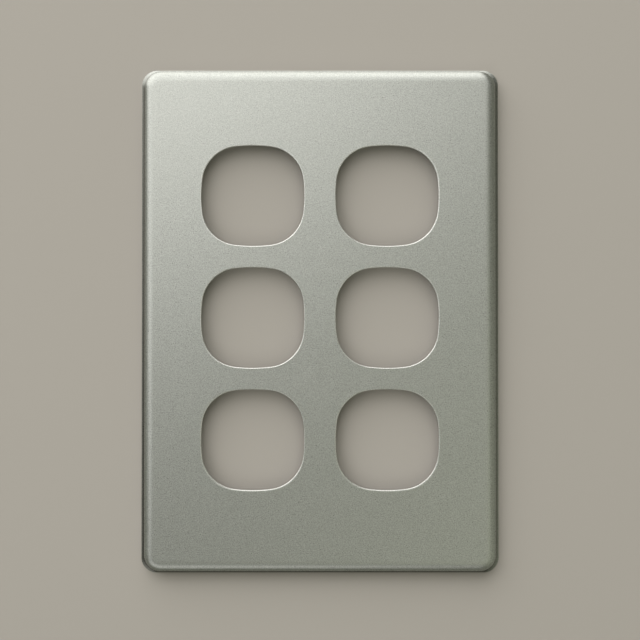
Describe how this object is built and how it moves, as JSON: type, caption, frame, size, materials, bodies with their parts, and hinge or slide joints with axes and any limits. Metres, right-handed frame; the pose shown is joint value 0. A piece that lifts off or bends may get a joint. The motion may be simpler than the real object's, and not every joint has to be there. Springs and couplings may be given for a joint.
{
  "type": "switch plate",
  "caption": "Pressed metal wall switch plate: a flat face with a grid of rounded square apertures, a rounded rim and a short skirt that pushes over a grid plate.",
  "frame": {"origin": "middle of the plate's outline, in the plane of its foot, where it meets the wall or the surface that it lies on", "axes": "+Z out of the face, away from the wall; +Y towards the top of the plate; +X to the right as seen from the front"},
  "size_m": [0.0838, 0.118, 0.004],
  "materials": {
    "satin_metal": "fine-grained satin, clear anodised"
  },
  "bodies": {
    "root": {"cover_plate": "satin_metal"}
  },
  "joints": []
}
